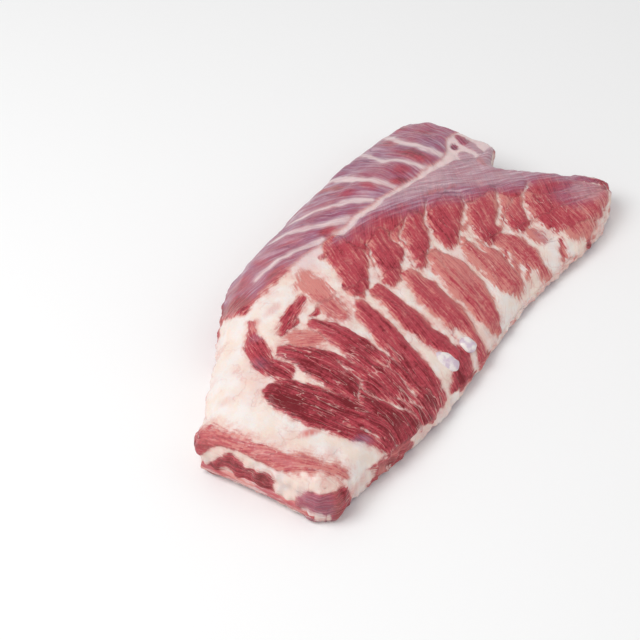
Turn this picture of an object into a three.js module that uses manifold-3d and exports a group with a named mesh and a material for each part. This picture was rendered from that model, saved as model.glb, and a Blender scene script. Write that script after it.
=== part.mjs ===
// A rack of raw pork spare ribs, lying bone side down with the meat side up.
// One piece of meat and fat carries the rib bones, which run across it from the sawn back edge towards the belly
// edge, and two knuckles of cartilage that show beside the belly edge.
// Plan sizes are in millimetres: x runs along the rack from the thick shoulder end, y across it from the belly edge
// to the sawn back edge, z up from the table. The group is shifted so that its origin is under the box's middle.
import * as THREE from "three";
import { mergeVertices } from "three/addons/utils/BufferGeometryUtils.js";
import Module from "manifold-3d";

// Outline, each pair a station and the edge's place there.
const BELLY_EDGE = [[-20, 2], [0, 0], [42, -4], [85, -8], [136, -11], [207, -4], [300, 4], [342, 3], [413, 2], [434, 8], [452, 16]];
const BACK_EDGE = [[-20, 114], [-6, 119], [15, 126], [34, 137], [73, 159], [107, 180], [124, 190], [180, 208], [226, 213],
  [275, 218], [338, 223], [370, 222], [425, 211], [452, 202]];
const SHOULDER_END = [[-12, 4], [0, 0], [40, -3], [80, -5], [119, -7], [140, -4]];
const FLANK_END = [[0, 447], [16, 452], [34, 446], [50, 434], [66, 418], [85, 404], [106, 396], [117, 419], [138, 421],
  [175, 423], [207, 426], [230, 425]];
const RACK_LENGTH = 430;

// Top heights along the rack: at the crest, at the belly edge and at the back edge, and where the crest runs.
const CREST_HEIGHT = [[-20, 42], [0, 46], [55, 55], [130, 64], [220, 67], [310, 64], [380, 54], [420, 46], [450, 40]];
const FAT_SUNK = 1;
const CREST_LINE = [[-20, 75], [0, 80], [55, 100], [107, 130], [180, 150], [260, 152], [340, 150], [420, 150], [450, 145]];
const BELLY_HEIGHT = [[-20, 36], [0, 38], [60, 30], [130, 24], [220, 20], [340, 20], [420, 28], [450, 30]];
const BACK_HEIGHT = [[-20, 30], [0, 34], [55, 42], [107, 42], [180, 38], [260, 34], [340, 30], [425, 28], [450, 26]];

// The bone side is a shallow vault between two feet, with a hollow between each two ribs.
const VAULT_HEIGHT = [[-20, 0], [0, 2], [60, 12], [130, 22], [240, 27], [340, 26], [450, 21]];
const FOOT_WIDTH = 12;
const HOLLOW_DEPTH = 3.2;
const RESTING_CUT = 0.9;

// Edge rounding, across the wall and up it. The flank end's corners are sharper.
const PLAN_ROUND = 13;
const FLANK_ROUND = 7;
const FLANK_STARTS = 370;
const FLANK_SETTLES = 430;
const TOP_ROUND = 11;
const BOTTOM_ROUND = 4;

// Ribs: the first lies bare along the foot of the shoulder end and the others fan out towards the flank.
const RIB_COUNT = 12;
const FIRST_RIB_INSET = 4;
const SECOND_RIB = 40;
const LAST_RIB = 380;
const FIRST_LEAN = -0.04;
const LAST_LEAN = 0.1;
const LEAN_FROM = 60;
const RIB_WIDTH = 14;
const RIB_THICKNESS = 9;
const RIB_COVER = 2.4;
const RIB_SIDES = 8;
const RIB_STEPS = 8;
const RIB_PROUD = 0.8;
const RIB_STOP = 22;
const FIRST_RIB_SHORT = 9;
const BONE_GAP = 0.4;

// Cartilage knuckles beside the belly edge, tilted with the slope there.
const KNUCKLES = [{ name: "cartilage_1", at: [178, 11], size: [17, 24, 7] }, { name: "cartilage_2", at: [205, 8], size: [14, 15, 7] }];
const KNUCKLE_PROUD = 1.3;
const KNUCKLE_TILT = 0.4;

// Grid of the meat.
const STEPS_LONG = 60;
const STEPS_WIDE = 31;
const STEPS_HIGH = 5;

// The muscles that stand up between seams of fat. Each is a chain of discs along a bowed spine, given by its two
// ends and its middle, with its widths there and its height over the fat.
const muscle = (spine, widths, high) => ({ spine, widths, high });
const MUSCLES = [
  // the shoulder's dark blades
  muscle([[50, 88], [59, 55], [76, 0]], [8, 37, 18], 2.4),
  muscle([[86, 102], [97, 55], [98, -4]], [10, 33, 26], 2.6),
  muscle([[125, 98], [128, 55], [124, -2]], [12, 25, 27], 2.4),
  muscle([[165, 85], [157, 52], [143, -2]], [9, 21, 19], 2.2),
  // the slanting fingers below the seam
  muscle([[207, 132], [192, 111], [175, 95]], [33, 27, 14], 2.4),
  muscle([[243, 122], [225, 103], [207, 84]], [35, 29, 17], 2.6),
  muscle([[278, 115], [258, 97], [240, 79]], [33, 30, 16], 2.6),
  muscle([[322, 106], [299, 92], [282, 79]], [33, 32, 19], 2.6),
  muscle([[354, 80], [331, 70], [313, 60]], [29, 31, 21], 2.6),
  muscle([[384, 62], [360, 54], [343, 47]], [17, 23, 16], 2.2),
  muscle([[424, 17], [396, 33], [373, 38]], [18, 38, 25], 2.8),
  // the upright ones along the belly edge
  muscle([[189, 82], [186, 45], [187, 9]], [15, 20, 16], 2),
  muscle([[222, 73], [218, 42], [211, 4]], [16, 27, 18], 2.4),
  muscle([[257, 68], [253, 42], [245, 10]], [17, 33, 16], 2.4),
  muscle([[290, 62], [290, 40], [289, 18]], [15, 30, 20], 2.2),
  muscle([[317, 50], [323, 30], [325, 8]], [16, 19, 10], 1.8),
  // the hook, the band along the shoulder end and the cushion of fat between them
  muscle([[97, 142], [74, 116], [69, 92]], [5, 15, 17], 1.4),
  muscle([[-3, 112], [5, 60], [24, 4]], [17, 13, 14], 1.6),
  muscle([[24, 118], [26, 72], [42, 28]], [24, 30, 20], 1.4),
  // the flat muscles of the back
  muscle([[190, 156], [156, 172], [130, 184]], [12, 30, 36], 1.6),
  muscle([[222, 152], [196, 172], [172, 196]], [10, 22, 24], 1.6),
  muscle([[264, 150], [238, 176], [214, 206]], [12, 28, 30], 1.6),
  muscle([[286, 150], [272, 182], [262, 208]], [10, 26, 30], 1.6),
  muscle([[317, 148], [314, 180], [322, 212]], [26, 32, 34], 1.6),
  muscle([[356, 144], [354, 178], [368, 212]], [24, 28, 28], 1.6),
  muscle([[394, 156], [398, 180], [402, 204]], [16, 24, 20], 1.6),
];
const MUSCLE_DISCS = 14;
const MUSCLE_SHOULDER = 3.5;

const clamp = (t) => Math.min(Math.max(t, 0), 1);
const mix = (a, b, t) => a + (b - a) * t;
const edgeRound = (x) => mix(PLAN_ROUND, FLANK_ROUND, clamp((x - FLANK_STARTS) / (FLANK_SETTLES - FLANK_STARTS)));

// A smooth curve through a few stations, with slopes taken from each station's neighbours.
function curve(keys, at) {
  const last = keys.length - 1;
  const x = Math.min(Math.max(at, keys[0][0]), keys[last][0]);
  let i = 0;
  while (i < last - 1 && x >= keys[i + 1][0]) i++;
  const slope = (k) => {
    if (k === 0) return (keys[1][1] - keys[0][1]) / (keys[1][0] - keys[0][0]);
    if (k === last) return (keys[last][1] - keys[last - 1][1]) / (keys[last][0] - keys[last - 1][0]);
    const before = keys[k][0] - keys[k - 1][0];
    const after = keys[k + 1][0] - keys[k][0];
    const rise = (keys[k][1] - keys[k - 1][1]) / before;
    const fall = (keys[k + 1][1] - keys[k][1]) / after;
    return (rise * after + fall * before) / (before + after);
  };
  const h = keys[i + 1][0] - keys[i][0];
  const t = (x - keys[i][0]) / h;
  const t2 = t * t;
  const t3 = t2 * t;
  return (2 * t3 - 3 * t2 + 1) * keys[i][1] + (t3 - 2 * t2 + t) * h * slope(i)
    + (3 * t2 - 2 * t3) * keys[i + 1][1] + (t3 - t2) * h * slope(i + 1);
}

// How far along the rack a rib's centre line lies at a place across it. Ribs are counted from 0, and a fraction
// gives a line between two ribs.
function ribLine(rib, y) {
  const first = curve(SHOULDER_END, y) + FIRST_RIB_INSET;
  const t = (rib - 1) / (RIB_COUNT - 2);
  const second = SECOND_RIB + FIRST_LEAN * (y - LEAN_FROM);
  if (rib < 1) return mix(first, second, rib);
  return mix(SECOND_RIB, LAST_RIB, t) + mix(FIRST_LEAN, LAST_LEAN, t) * (y - LEAN_FROM);
}

// The inverse of ribLine: which rib, or place between ribs, a point belongs to.
function ribAt(x, y) {
  const second = ribLine(1, y);
  if (x < second) return (x - ribLine(0, y)) / (second - ribLine(0, y));
  return 1 + ((RIB_COUNT - 2) * (x - second)) / (ribLine(RIB_COUNT - 1, y) - second);
}

// The vault of the bone side without its ribs.
function vault(x, y) {
  const near = curve(BELLY_EDGE, x) + FOOT_WIDTH;
  const far = curve(BACK_EDGE, x) - FOOT_WIDTH;
  const s = clamp((y - near) / (far - near));
  return curve(VAULT_HEIGHT, x) * (4 * s * (1 - s)) ** 0.85;
}

function bottomHeight(x, y) {
  const hollow = HOLLOW_DEPTH * (0.5 - 0.5 * Math.cos(2 * Math.PI * ribAt(x, y)));
  return Math.max(0, vault(x, y) + hollow - RESTING_CUT);
}

// The disc at t along a muscle, from 0 to 1: its centre and radius, on parabolas through the three given places.
function muscleDisc({ spine, widths }, t) {
  const [a, b, c] = [(1 - t) * (1 - 2 * t), 4 * t * (1 - t), t * (2 * t - 1)];
  const through = ([start, middle, end]) => a * start + b * middle + c * end;
  return { x: through(spine.map((p) => p[0])), y: through(spine.map((p) => p[1])), radius: through(widths) / 2 };
}

const DISCS = MUSCLES.flatMap((one) => Array.from({ length: MUSCLE_DISCS + 1 }, (_, i) => (
  { ...muscleDisc(one, i / MUSCLE_DISCS), high: one.high })));

// How far the muscles lift the surface over the fat at a place.
function muscleHeight(x, y) {
  let height = 0;
  for (const disc of DISCS) {
    const depth = disc.radius - Math.hypot(x - disc.x, y - disc.y);
    if (depth > 0) height = Math.max(height, disc.high * (1 - Math.exp(-depth / MUSCLE_SHOULDER)));
  }
  return height;
}

function topHeight(x, y) {
  const belly = curve(BELLY_EDGE, x);
  const back = curve(BACK_EDGE, x);
  const crest = curve(CREST_HEIGHT, x);
  const line = curve(CREST_LINE, x);
  const low = y < line ? curve(BELLY_HEIGHT, x) : curve(BACK_HEIGHT, x);
  const t = y < line ? clamp((y - belly) / (line - belly)) : clamp((back - y) / (back - line));
  return low + (crest - low) * Math.sin((t * Math.PI) / 2) + muscleHeight(x, y) - FAT_SUNK;
}

// A place of the block: long, wide and high each run from 0 to 1, and the block's edges are rounded off.
function place(long, wide, high) {
  const roughX = long * RACK_LENGTH;
  const roughY = mix(curve(BELLY_EDGE, roughX), curve(BACK_EDGE, roughX), wide);
  let x = mix(curve(SHOULDER_END, roughY), curve(FLANK_END, roughY), long);
  const belly = curve(BELLY_EDGE, x);
  const back = curve(BACK_EDGE, x);
  let y = mix(belly, back, wide);
  const top = topHeight(x, y);
  const bottom = bottomHeight(x, y);
  let z = mix(bottom, top, high);
  const upper = high > 0.5;
  const roundHigh = upper ? TOP_ROUND : BOTTOM_ROUND;
  const ends = long < 0.5 ? [-1, x - curve(SHOULDER_END, roughY)] : [1, curve(FLANK_END, roughY) - x];
  const sides = wide < 0.5 ? [-1, y - belly] : [1, back - y];
  const round = edgeRound(x);
  const a = clamp(1 - ends[1] / round);
  const b = clamp(1 - sides[1] / round);
  const c = clamp(1 - (upper ? top - z : z - bottom) / roundHigh);
  x += ends[0] * round * (a * Math.sqrt(1 - b * b / 2 - c * c / 2 + (b * b * c * c) / 3) - a);
  y += sides[0] * round * (b * Math.sqrt(1 - a * a / 2 - c * c / 2 + (a * a * c * c) / 3) - b);
  z += (upper ? 1 : -1) * roundHigh * (c * Math.sqrt(1 - a * a / 2 - b * b / 2 + (a * a * b * b) / 3) - c);
  return [x, y, z];
}

// Steps that are finer by both ends, where the edges are round.
const spaced = (t) => mix(t, 0.5 - 0.5 * Math.cos(Math.PI * t), 0.5);

// A box's grid with each vertex taken to its place in the rack.
function meatGeometry() {
  const geometry = new THREE.BoxGeometry(1, 1, 1, STEPS_LONG, STEPS_WIDE, STEPS_HIGH);
  const position = geometry.getAttribute("position");
  for (let i = 0; i < position.count; i++) {
    const [long, wide, high] = [position.getX(i), position.getY(i), position.getZ(i)].map((t) => spaced(t + 0.5));
    position.setXYZ(i, ...place(long, wide, high));
  }
  return geometry;
}

// A straight bar with the rib's section, one step long for each station, bent so that its steps lie at the stations.
function ribBar(rib, stations, grown) {
  const section = new THREE.Shape();
  section.absellipse(0, 0, RIB_WIDTH / 2 + grown, RIB_THICKNESS / 2 + grown, 0, 2 * Math.PI);
  const steps = stations.length - 1;
  const geometry = new THREE.ExtrudeGeometry(section, { depth: steps, steps, curveSegments: RIB_SIDES / 2, bevelEnabled: false });
  const position = geometry.getAttribute("position");
  for (let i = 0; i < position.count; i++) {
    const y = stations[Math.round(position.getZ(i))];
    const x = ribLine(rib, y);
    position.setXYZ(i, x + position.getX(i), y, vault(x, y) + RIB_COVER + RIB_THICKNESS / 2 + position.getY(i));
  }
  return geometry;
}

// The stations of a rib from the sawn back edge to its end by the belly.
function ribStations(rib) {
  const middle = ribLine(rib, LEAN_FROM);
  const belly = curve(BELLY_EDGE, middle) + (rib === 0 ? FIRST_RIB_SHORT : RIB_STOP);
  const back = curve(BACK_EDGE, ribLine(rib, curve(BACK_EDGE, middle))) + (rib === 0 ? -FIRST_RIB_SHORT : RIB_PROUD);
  return Array.from({ length: RIB_STEPS + 1 }, (_, i) => mix(back, belly, i / RIB_STEPS));
}

const ribGeometry = (rib) => ribBar(rib, ribStations(rib), 0);

// The channel that the bone lies in, run out past the back edge.
function ribChannel(rib) {
  const stations = ribStations(rib);
  return ribBar(rib, [stations[0] + PLAN_ROUND, ...stations, stations[RIB_STEPS] - BONE_GAP], BONE_GAP);
}

function knuckleGeometry({ at, size }, grown) {
  const [x, y] = at;
  const geometry = new THREE.SphereGeometry(0.5, 10, 7);
  geometry.scale(size[0] + 2 * grown, size[1] + 2 * grown, size[2] + 2 * grown);
  geometry.rotateX(KNUCKLE_TILT);
  geometry.translate(x, y, topHeight(x, y) + KNUCKLE_PROUD - size[2] / 2);
  return geometry;
}

const wasm = await Module();
wasm.setup();

function solid(geometry) {
  const bare = new THREE.BufferGeometry().setAttribute("position", geometry.getAttribute("position"));
  if (geometry.index) bare.setIndex(geometry.index);
  const merged = mergeVertices(bare, 1e-3);
  return new wasm.Manifold(new wasm.Mesh({
    numProp: 3,
    vertProperties: merged.getAttribute("position").array,
    triVerts: new Uint32Array(merged.index.array),
  }));
}

function geometryOf(made) {
  const { numProp, vertProperties, triVerts, numVert } = made.getMesh();
  const points = new Float32Array(numVert * 3);
  for (let i = 0; i < numVert; i++) points.set(vertProperties.subarray(i * numProp, i * numProp + 3), i * 3);
  return new THREE.BufferGeometry().setAttribute("position", new THREE.BufferAttribute(points, 3))
    .setIndex(new THREE.BufferAttribute(new Uint32Array(triVerts), 1));
}

const MEAT = new THREE.MeshStandardMaterial({ color: 0xb4505a, roughness: 0.45, metalness: 0 });
const BONE = new THREE.MeshStandardMaterial({ color: 0xe9dfd6, roughness: 0.5, metalness: 0 });
const CARTILAGE = new THREE.MeshStandardMaterial({ color: 0xe6e2ec, roughness: 0.35, metalness: 0 });

function mesh(name, geometry, material) {
  const made = new THREE.Mesh(geometry, material);
  made.name = name;
  return made;
}

const rack = new THREE.Group();
let meat = solid(meatGeometry());
for (let rib = 0; rib < RIB_COUNT; rib++) meat = meat.subtract(solid(ribChannel(rib)));
for (const knuckle of KNUCKLES) meat = meat.subtract(solid(knuckleGeometry(knuckle, BONE_GAP)));
rack.add(mesh("meat", geometryOf(meat), MEAT));
for (let rib = 0; rib < RIB_COUNT; rib++) {
  rack.add(mesh(`rib_${String(rib + 1).padStart(2, "0")}`, geometryOf(solid(ribGeometry(rib))), BONE));
}
for (const knuckle of KNUCKLES) rack.add(mesh(knuckle.name, geometryOf(solid(knuckleGeometry(knuckle, 0))), CARTILAGE));

const box = new THREE.Box3().setFromObject(rack);
const middle = box.getCenter(new THREE.Vector3());
rack.position.set(-middle.x, -middle.y, -box.min.z);

export default rack;
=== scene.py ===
"""A rack of raw pork spare ribs, lying bone side down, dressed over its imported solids.

The flesh is one mesh, worked out from the same outline and heights as its solid and made uneven by its
muscles. Each of its points carries, as named attributes, how deep it lies inside a muscle, how dark that
muscle is, how much silverskin or stain covers it and which way its fibres run. The materials turn those
into frayed fat, fibres and wet sheen.
"""
import functools
import math
from collections import namedtuple

import bpy
import numpy as np
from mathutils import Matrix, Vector


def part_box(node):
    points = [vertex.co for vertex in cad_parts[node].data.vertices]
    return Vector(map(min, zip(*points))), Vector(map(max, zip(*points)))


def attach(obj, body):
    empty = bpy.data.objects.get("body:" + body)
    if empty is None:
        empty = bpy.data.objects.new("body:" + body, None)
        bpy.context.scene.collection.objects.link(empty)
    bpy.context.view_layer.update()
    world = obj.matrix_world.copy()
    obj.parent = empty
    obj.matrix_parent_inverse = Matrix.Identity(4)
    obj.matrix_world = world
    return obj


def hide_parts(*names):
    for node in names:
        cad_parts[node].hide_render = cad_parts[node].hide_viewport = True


bl_info = {
    "name": "Raw Pork Spare Ribs",
    "version": (1, 0, 0),
    "blender": (4, 5, 0),
    "location": "3D View > Sidebar > Spare Ribs",
    "description": "Builds a rack of raw pork spare ribs over its packed solids",
    "category": "Object",
}

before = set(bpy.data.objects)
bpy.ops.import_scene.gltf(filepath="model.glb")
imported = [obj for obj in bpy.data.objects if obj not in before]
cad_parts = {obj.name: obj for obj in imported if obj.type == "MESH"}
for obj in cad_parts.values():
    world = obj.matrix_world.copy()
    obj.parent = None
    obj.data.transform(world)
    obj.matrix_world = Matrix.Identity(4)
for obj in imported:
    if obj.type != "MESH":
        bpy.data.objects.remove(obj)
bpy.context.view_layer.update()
BODY = "root"
MM = 0.001

# Outline of the rack in its own measure, in millimetres: x from the shoulder end, y from the belly edge.
BELLY_EDGE = ((-20, 2), (0, 0), (42, -4), (85, -8), (136, -11), (207, -4), (300, 4), (342, 3), (413, 2),
              (434, 8), (452, 16))
BACK_EDGE = ((-20, 114), (-6, 119), (15, 126), (34, 137), (73, 159), (107, 180), (124, 190), (180, 208),
             (226, 213), (275, 218), (338, 223), (370, 222), (425, 211), (452, 202))
SHOULDER_END = ((-12, 4), (0, 0), (40, -3), (80, -5), (119, -7), (140, -4))
FLANK_END = ((0, 447), (16, 452), (34, 446), (50, 434), (66, 418), (85, 404), (106, 396), (117, 419),
             (138, 421), (175, 423), (207, 426), (230, 425))
RACK_LENGTH = 430

# Top heights along the rack and the line that the crest follows.
CREST_HEIGHT = ((-20, 42), (0, 46), (55, 55), (130, 64), (220, 67), (310, 64), (380, 54), (420, 46),
                (450, 40))
CREST_LINE = ((-20, 75), (0, 80), (55, 100), (107, 130), (180, 150), (260, 152), (340, 150), (420, 150),
              (450, 145))
BELLY_HEIGHT = ((-20, 36), (0, 38), (60, 30), (130, 24), (220, 20), (340, 20), (420, 28), (450, 30))
BACK_HEIGHT = ((-20, 30), (0, 34), (55, 42), (107, 42), (180, 38), (260, 34), (340, 30), (425, 28),
               (450, 26))

# The bone side: a shallow vault with a hollow between each two ribs.
VAULT_HEIGHT = ((-20, 0), (0, 2), (60, 12), (130, 22), (240, 27), (340, 26), (450, 21))
FOOT_WIDTH = 12
HOLLOW_DEPTH = 3.2
RESTING_CUT = 0.9
PLAN_ROUND = ((370, 13), (430, 7))
TOP_ROUND = 11
BOTTOM_ROUND = 4

# Ribs.
RIB_COUNT = 12
FIRST_RIB_INSET = 4
SECOND_RIB = 40
LAST_RIB = 380
FIRST_LEAN = -0.04
LAST_LEAN = 0.1
LEAN_FROM = 60
RIB_WIDTH = 14
RIB_THICKNESS = 9
RIB_COVER = 2.4
RIB_PROUD = 0.8
RIB_STOP = 22
FIRST_RIB_SHORT = 9
RIB_RINGS = 60
RIB_SIDES = 28
RIB_UNEVENNESS = 0.5

# Relief of the flesh: the width over which a muscle swells, how far the cut faces bulge, how far the fat lies
# under the outline's height, the most that anything stands out, and how high up the resting rims stay plain.
MUSCLE_SHOULDER = 9
WALL_BULGE = 1.2
FAT_SUNK = 0.8
RELIEF_LIMIT = 2.8
RESTS_UP_TO = 1.5
# Where the bones come out of the sawn edge: how high, how near the edge, and how far the flesh lies back.
BONES_UP_TO = RIB_COVER + RIB_THICKNESS + 3
SAWN_MARGIN = 6
BONE_SHOWS = 0.2

# Corners that hang out: place, reach and how far out.
Corner = namedtuple("Corner", "place reach bulge")
CORNERS = (Corner((-8, 117, 24), 15, 5), Corner((4, 0, 12), 20, 4.5))

# Knuckles of cartilage: place, size and the tilt of their outer side. The first stands at the same place here
# and in the frame, so it sets the shift between the two measures.
KNUCKLES = {"cartilage_1": ((178, 11), (17, 24, 7)), "cartilage_2": ((205, 8), (14, 15, 7))}
KNUCKLE_TILT = 0.4

# A muscle is a chain of discs along a bowed spine, with its width at both ends and in the middle. Shade runs
# from 0, pale and fatty, to 1, dark, and is given for the spine's two ends. High is how far it stands up from
# the fat.
Muscle = namedtuple("Muscle", "spine widths shades high")
DISCS = 26
# Muscles whose fibres run along them: the shoulder's dark blades, the hook and the slits beside it.
BLADES = (
    Muscle(((50, 88), (59, 55), (76, 0)), (8, 37, 18), (1.0, 0.92), 2.6),
    Muscle(((86, 102), (97, 55), (98, -4)), (10, 33, 26), (0.85, 1.0), 2.8),
    Muscle(((125, 98), (128, 55), (124, -2)), (12, 25, 27), (0.72, 0.95), 2.6),
    Muscle(((165, 85), (157, 52), (143, -2)), (9, 21, 19), (0.68, 0.8), 2.4),
    Muscle(((97, 142), (74, 116), (69, 92)), (5, 15, 17), (0.75, 0.85), 1.6),
    Muscle(((97, 117), (118, 119), (141, 124)), (3, 8, 6), (0.9, 0.7), -0.8),
    Muscle(((111, 114), (115, 112), (119, 113)), (2, 3.4, 2), (1.0, 0.8), -0.4),
    Muscle(((133, 107), (136, 107), (139, 108)), (2, 3.4, 2), (1.0, 0.8), -0.4),
)
# Muscles under thin fat, which blurs their rims and turns them salmon.
VEILED = (
    Muscle(((-8, 112), (-3, 60), (25, 3)), (22, 12, 6), (0.75, 0.5), 1.6),
    Muscle(((163, 137), (156, 122), (150, 106)), (8, 14, 11), (-0.15, 0.5), 0.8),
    Muscle(((150, 108), (148, 100), (146, 90)), (10, 15, 10), (0.5, 0.6), 0.8),
    Muscle(((101, 103), (107, 97), (114, 89)), (10, 15, 8), (0.2, 0.45), 0.8),
)
VEILED_RIM = 0.4
VEILED_STAIN = 0.4
# Muscles cut across their fibres, which all run one way: the fingers below the seam and the upright ones.
FINGERS = (
    # the slanting fingers below the seam
    Muscle(((207, 132), (192, 111), (175, 95)), (32, 25, 12), (0.5, 0.64), 2.8),
    Muscle(((243, 122), (225, 103), (207, 84)), (34, 27, 15), (0.52, 0.7), 3.2),
    Muscle(((278, 115), (258, 97), (240, 79)), (32, 28, 14), (0.5, 0.7), 3.4),
    Muscle(((322, 106), (299, 92), (282, 79)), (32, 30, 17), (0.46, 0.66), 3.4),
    Muscle(((354, 80), (331, 70), (313, 60)), (28, 29, 19), (0.42, 0.68), 3.4),
    Muscle(((384, 62), (360, 54), (343, 47)), (16, 21, 14), (0.42, 0.62), 2.8),
    Muscle(((428, 15), (396, 28), (375, 35)), (18, 44, 27), (0.36, 0.62), 3.2),
    # the upright ones along the belly edge
    Muscle(((189, 82), (186, 45), (187, 9)), (14, 19, 15), (0.6, 0.76), 2.4),
    Muscle(((222, 73), (218, 42), (211, 4)), (15, 26, 17), (0.4, 0.58), 2.8),
    Muscle(((257, 68), (253, 42), (245, 10)), (16, 32, 15), (0.2, 0.42), 2.8),
    Muscle(((290, 62), (290, 40), (289, 18)), (14, 29, 19), (0.2, 0.42), 2.6),
    Muscle(((317, 50), (323, 30), (325, 8)), (15, 18, 9), (0.4, 0.35), 2.2),
    Muscle(((346, 36), (348, 31), (349, 27)), (9, 11, 5), (0.3, 0.2), 1.2),
    # pale slivers where fat runs between them
    Muscle(((302, 22), (310, 27), (318, 33)), (2, 4, 2), (0.3, 0.4), 0.6),
    Muscle(((302, 32), (309, 36), (316, 41)), (2, 4, 2), (0.3, 0.4), 0.6),
    Muscle(((306, 13), (313, 18), (320, 24)), (2, 4, 2), (0.3, 0.4), 0.6),
    Muscle(((300, 73), (312, 80), (326, 88)), (3, 9, 8), (0.3, 0.4), 1.2),
    Muscle(((396, 4), (384, 8), (372, 14)), (8, 13, 8), (0.3, 0.3), 1.4),
    # slivers beside the cartilage and at the far tip
    Muscle(((164, -9), (182, -3), (197, 7)), (7, 10, 7), (0.85, 0.85), 0.6),
    Muscle(((412, 11), (427, 14), (437, 19)), (9, 13, 8), (0.6, 0.86), 1.6),
    Muscle(((427, 49), (438, 36), (446, 18)), (3, 8, 6), (1.0, 0.85), 0.4),
    # muscle, a fold and a vessel's hole in the fat by the notch
    Muscle(((408, 149), (404, 135), (398, 121)), (5, 8, 6), (0.8, 1.0), 0.8),
    Muscle(((386, 130), (382, 124), (376, 120)), (5, 8, 4), (0.4, 0.5), 0.6),
    Muscle(((361, 14), (357, 8), (351, 2)), (1.5, 3, 1.5), (0.7, 0.5), -1.0),
    Muscle(((388, 139), (391, 141), (395, 142)), (3, 5.5, 3), (1.4, 1.4), -1.8),
)
# How much further the muscles reach than their discs, how far outside one its own fibres still count, and the
# step between two muscles' grains.
MUSCLE_SPREAD = 1.0
OWN_REACH = 4
GRAIN_GAP = 400
# Depth of a place that is in no muscle at all, and the most that is kept of any depth.
OUTSIDE = -1e3
DEPTH_LIMIT = 12

# Lines of fat that part the muscles: points along each, and its half width at its two ends.
Line = namedtuple("Line", "points halves")
SEPTA = (
    Line(((202, 91), (210, 103), (225, 119)), (2.0, 0.3)),
    Line(((234, 79), (240, 95), (249, 111)), (2.2, 0.3)),
    Line(((246, 98), (258, 106), (271, 114)), (0.9, 0.2)),
    Line(((269, 84), (283, 99), (303, 112)), (2.4, 0.3)),
    Line(((305, 77), (318, 82), (334, 98)), (2.6, 0.4)),
    Line(((331, 57), (345, 66), (364, 80)), (2.8, 0.5)),
    Line(((358, 45), (365, 54), (376, 62), (392, 66)), (3.2, 0.5)),
    Line(((296, 64), (295, 52)), (3.4, 2.0)),
    Line(((207, 18), (205, 6), (196, -9)), (5.5, 2.6)),
    # cracks of fat in the shoulder's blades
    Line(((106, 66), (105, 53), (104, 43), (100, 36), (101, 26), (106, 17), (110, -2)), (0.2, 0.9)),
    Line(((86, 30), (93, 36), (100, 39)), (0.1, 0.4)),
    Line(((112, 20), (118, 8), (122, -4)), (0.2, 0.8)),
    Line(((63, 23), (68, 16), (72, 4)), (0.3, 0.2)),
    Line(((129, 44), (130, 26), (127, 6)), (0.1, 0.5)),
)
# Softer pale lines that run across the back under its silverskin.
BACK_LINES = (
    Line(((202, 149), (186, 158), (168, 166), (144, 171)), (3.0, 1.6)),
    Line(((238, 146), (219, 164), (204, 182), (195, 196)), (3.6, 2.0)),
    Line(((272, 148), (249, 171), (225, 196)), (3.0, 2.2)),
    Line(((299, 142), (294, 160), (293, 178), (300, 212)), (2.6, 4.0)),
    Line(((339, 138), (335, 160), (331, 176), (346, 212)), (2.4, 2.4)),
    Line(((366, 136), (366, 160), (371, 182), (386, 212)), (4.2, 2.6)),
)

# The seam of fat between the belly's muscles and the back's, and its half width along it.
SEAM = ((60, 152), (105, 147), (150, 146), (200, 144), (250, 142), (300, 138), (340, 134), (375, 132),
        (410, 136))
SEAM_HALF = ((60, 12), (105, 7), (150, 4.5), (200, 2.6), (250, 2), (300, 2), (340, 3), (372, 6), (388, 14),
             (404, 17), (425, 17))
BACK_STARTS = 104
BACK_SLANT = 0.12
# The back's fibres are straight lines from feet on the seam, each leaning by this much of x for each y.
BACK_FANS = ((120, -3.4), (202, -2.6), (238, -0.95), (272, -0.9), (299, -0.1), (339, 0.05), (366, 0.25),
             (420, 0.5))
FEET = (20, 520)
HALVINGS = 18
# Shade and height of the back, and of the sheet that joins the fingers, with the place where it starts.
BACK_SHADE = 0.55
BACK_HIGH = 1.8
SHEET_SHADE = 0.6
SHEET_HIGH = 2.8
SHEET_STARTS = 186
# Roots of the slanting fingers, from which one sheet of muscle runs up to the seam.
ROOTS = ((185, 142), (205, 122), (240, 110), (275, 102), (310, 94), (335, 84), (360, 68), (385, 50),
         (410, 30), (440, 12))
# Lower rim of the silverskin that thins out over the fingers, and the way the sheet's fibres run.
SILVER_RIM = ((190, 140), (205, 134), (250, 124), (300, 106), (350, 80), (400, 52), (440, 26))
SHEET_TURN = ((340, 38), (400, 53))
# How far the sheet stops short of the flank end, across the rack.
FLANK_RIM = ((0, 13), (40, 12), (56, 5), (70, -8))
TURNS_AT = 370

# Oblong patches: centre, the two half sizes, the turn of the first in degrees and the strength.
Patch = namedtuple("Patch", "centre halves turn strength")
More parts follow.
